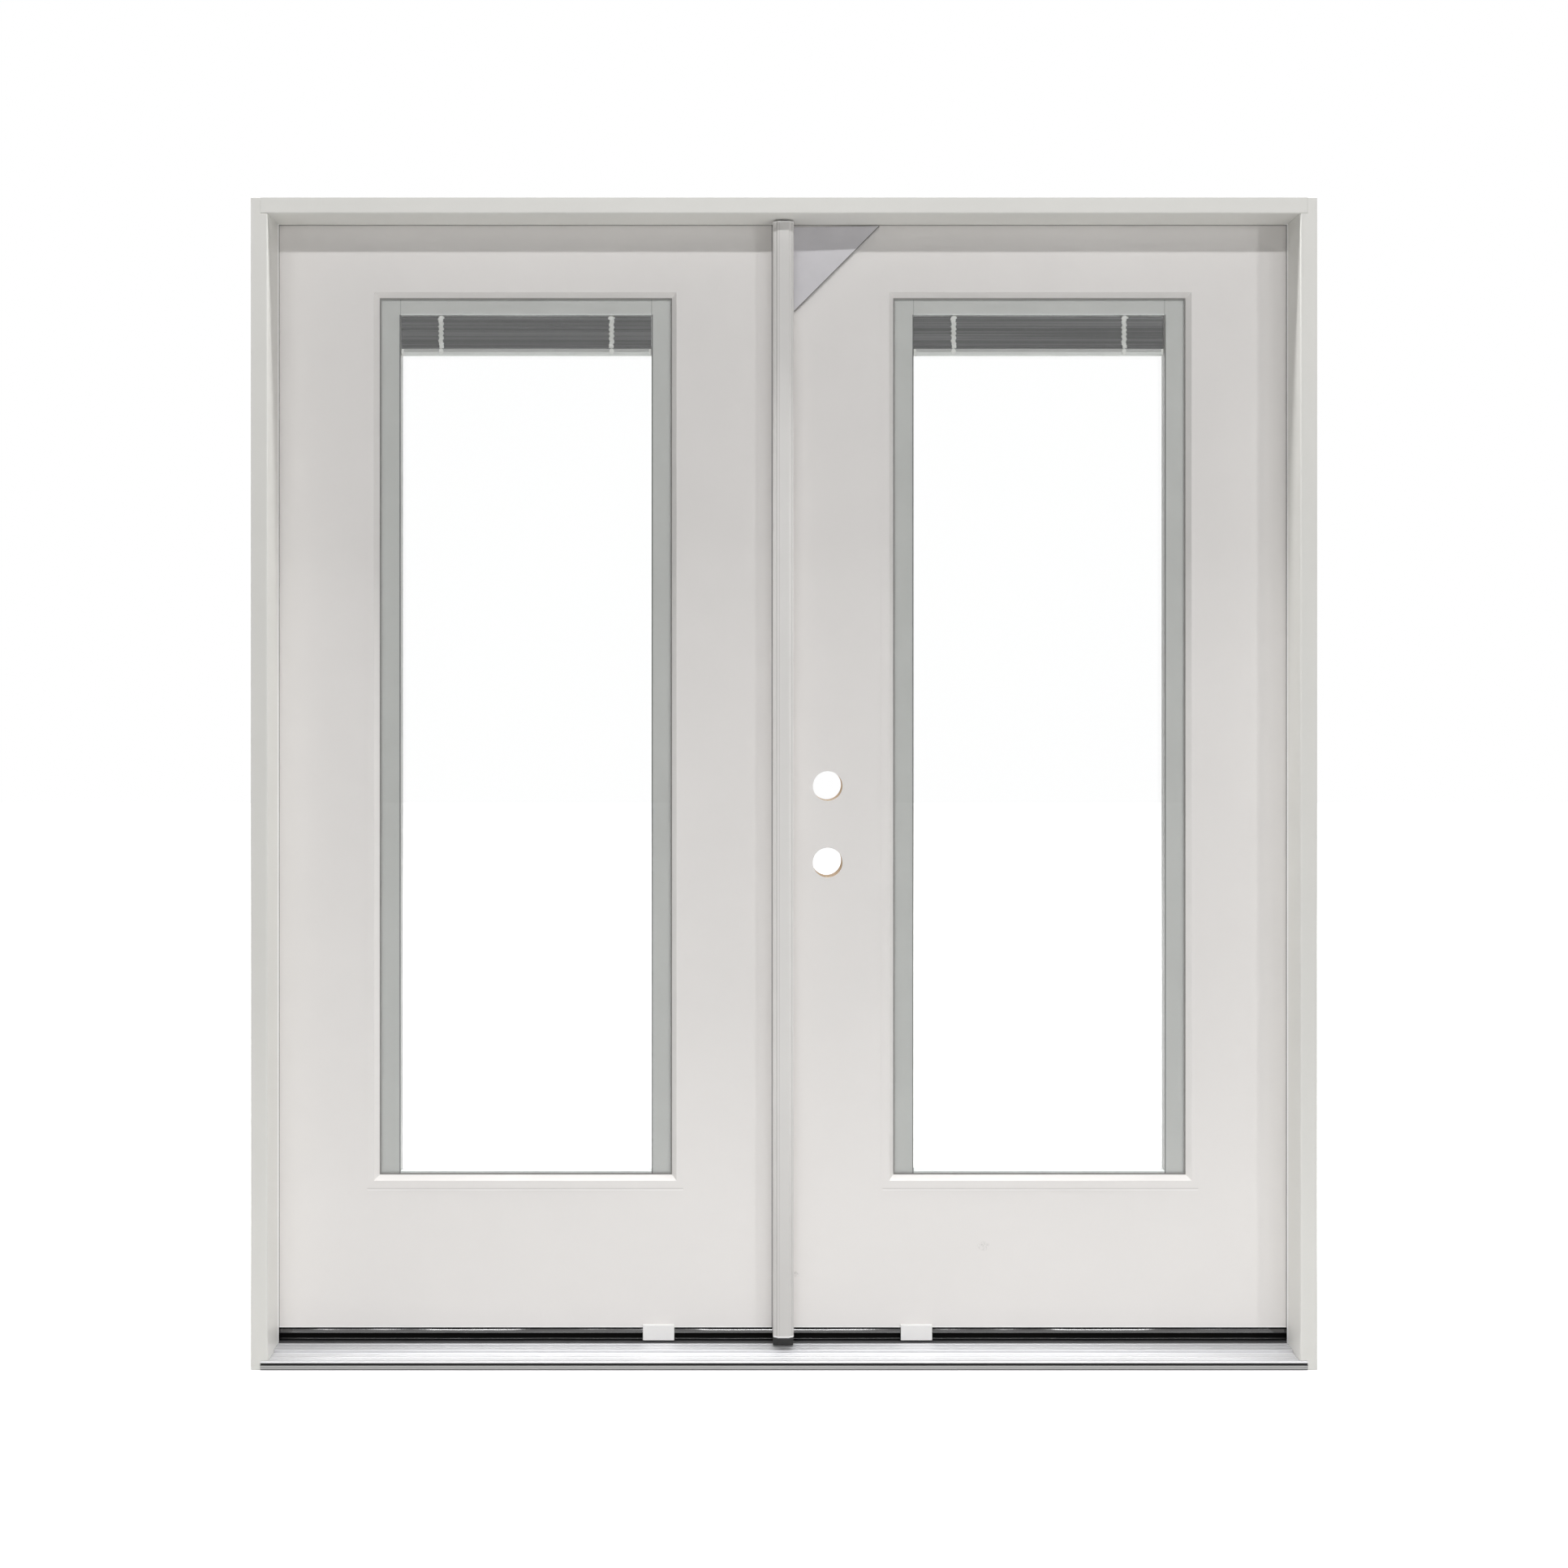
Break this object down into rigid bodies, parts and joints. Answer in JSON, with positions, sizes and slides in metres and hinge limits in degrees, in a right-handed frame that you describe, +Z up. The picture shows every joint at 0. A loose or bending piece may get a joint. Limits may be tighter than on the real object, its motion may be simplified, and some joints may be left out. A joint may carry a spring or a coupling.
{
  "type": "french doors",
  "caption": "White prehung french doors that open inwards: glazed leaves with blinds between the panes, a T astragal, rabbeted frame, ribbed sill and open lock bores.",
  "frame": {"origin": "middle of the sill's underside, half way through the depth of the jambs", "axes": "+X to the right as seen from outside, +Y into the room, +Z up"},
  "size_m": [1.892, 0.1315, 2.08],
  "materials": {
    "frame_white": "satin white composite",
    "leaf_white": "satin white moulded fibreglass",
    "astragal_white": "satin white paint on aluminium",
    "sill_aluminium": "ribbed mill finish",
    "composite_core": "composite lumber",
    "black_composite": "satin black",
    "black_vinyl": "glossy black vinyl",
    "black_rubber": "matt black foam",
    "seal_white": "soft white skin over foam",
    "timber": "laminated lumber",
    "foam": "rigid foam",
    "clear_glass": "clear polished",
    "channel_grey": "satin grey",
    "slat_grey": "satin grey paint",
    "tape_white": "woven tape",
    "rail_grey": "satin light grey paint",
    "clip_white": "smooth white",
    "card_white": "thin white film",
    "hinge_steel": "brushed"
  },
  "bodies": {
    "frame": {"head_jamb": "frame_white", "left_jamb": "frame_white", "right_jamb": "frame_white", "sill_deck": "sill_aluminium", "sill_core": "composite_core", "threshold_cap": "black_composite", "head_seal": "seal_white", "jamb_seals": "seal_white", "corner_pads": "black_rubber", "head_strike": "hinge_steel", "frame_hinge_leaves": "hinge_steel", "hinge_pins": "hinge_steel"},
    "active_leaf": {"right_exterior_skin": "leaf_white", "right_interior_skin": "leaf_white", "right_hinge_stile": "timber", "right_lock_stile": "timber", "right_top_rail": "timber", "right_bottom_rail": "timber", "right_foam_core": "foam", "right_outer_pane": "clear_glass", "right_inner_pane": "clear_glass", "right_side_channels": "channel_grey", "right_blind_headrail": "channel_grey", "right_bottom_spacer": "channel_grey", "right_slat_stack": "slat_grey", "right_ladder_tapes": "tape_white", "right_door_sweep": "black_vinyl", "right_transit_clip": "clip_white", "right_leaf_hinges": "hinge_steel", "right_lock_block": "timber", "corner_card": "card_white"},
    "passive_leaf": {"left_exterior_skin": "leaf_white", "left_interior_skin": "leaf_white", "left_hinge_stile": "timber", "left_lock_stile": "timber", "left_top_rail": "timber", "left_bottom_rail": "timber", "left_foam_core": "foam", "left_outer_pane": "clear_glass", "left_inner_pane": "clear_glass", "left_side_channels": "channel_grey", "left_blind_headrail": "channel_grey", "left_bottom_spacer": "channel_grey", "left_slat_stack": "slat_grey", "left_ladder_tapes": "tape_white", "left_door_sweep": "black_vinyl", "left_transit_clip": "clip_white", "left_leaf_hinges": "hinge_steel", "astragal": "astragal_white", "astragal_caps": "clip_white", "astragal_seal": "seal_white", "astragal_boot": "black_rubber"},
    "right_blind": {"right_blind_rail": "rail_grey"},
    "right_lift": {"right_lift_slider": "clip_white"},
    "right_tilt": {"right_tilt_slider": "clip_white"},
    "left_blind": {"left_blind_rail": "rail_grey"},
    "left_lift": {"left_lift_slider": "clip_white"},
    "left_tilt": {"left_tilt_slider": "clip_white"},
    "top_bolt": {"top_bolt": "hinge_steel"},
    "bottom_bolt": {"bottom_bolt": "hinge_steel"}
  },
  "joints": [
    {"name": "active_leaf_swing", "type": "hinge", "parent": "frame", "child": "active_leaf", "pos_m": [0.9275, 0.065, 0], "axis": [0, 0, -1], "range_deg": [0, 150]},
    {"name": "passive_leaf_swing", "type": "hinge", "parent": "frame", "child": "passive_leaf", "pos_m": [-0.9275, 0.065, 0], "axis": [0, 0, 1], "range_deg": [0, 120]},
    {"name": "right_blind_lift", "type": "slide", "parent": "active_leaf", "child": "right_blind", "axis": [0, 0, -1], "range_m": [0, 1.49], "deforming": ["right_slat_stack", "right_ladder_tapes"]},
    {"name": "right_lift_slide", "type": "slide", "parent": "active_leaf", "child": "right_lift", "axis": [0, 0, 1], "range_m": [0, 1.49]},
    {"name": "right_tilt_slide", "type": "slide", "parent": "active_leaf", "child": "right_tilt", "axis": [0, 0, 1], "range_m": [-0.03, 0.03]},
    {"name": "left_blind_lift", "type": "slide", "parent": "passive_leaf", "child": "left_blind", "axis": [0, 0, -1], "range_m": [0, 1.49], "deforming": ["left_slat_stack", "left_ladder_tapes"]},
    {"name": "left_lift_slide", "type": "slide", "parent": "passive_leaf", "child": "left_lift", "axis": [0, 0, 1], "range_m": [0, 1.49]},
    {"name": "left_tilt_slide", "type": "slide", "parent": "passive_leaf", "child": "left_tilt", "axis": [0, 0, 1], "range_m": [-0.03, 0.03]},
    {"name": "top_bolt_slide", "type": "slide", "parent": "passive_leaf", "child": "top_bolt", "axis": [0, 0, 1], "range_m": [0, 0.014]},
    {"name": "bottom_bolt_slide", "type": "slide", "parent": "passive_leaf", "child": "bottom_bolt", "axis": [0, 0, -1], "range_m": [0, 0.03]}
  ],
  "couplings": [
    {"joint": "passive_leaf_swing", "follows": "active_leaf_swing", "ratio": 0.8},
    {"joint": "right_lift_slide", "follows": "right_blind_lift", "ratio": 1},
    {"joint": "left_lift_slide", "follows": "left_blind_lift", "ratio": 1}
  ]
}
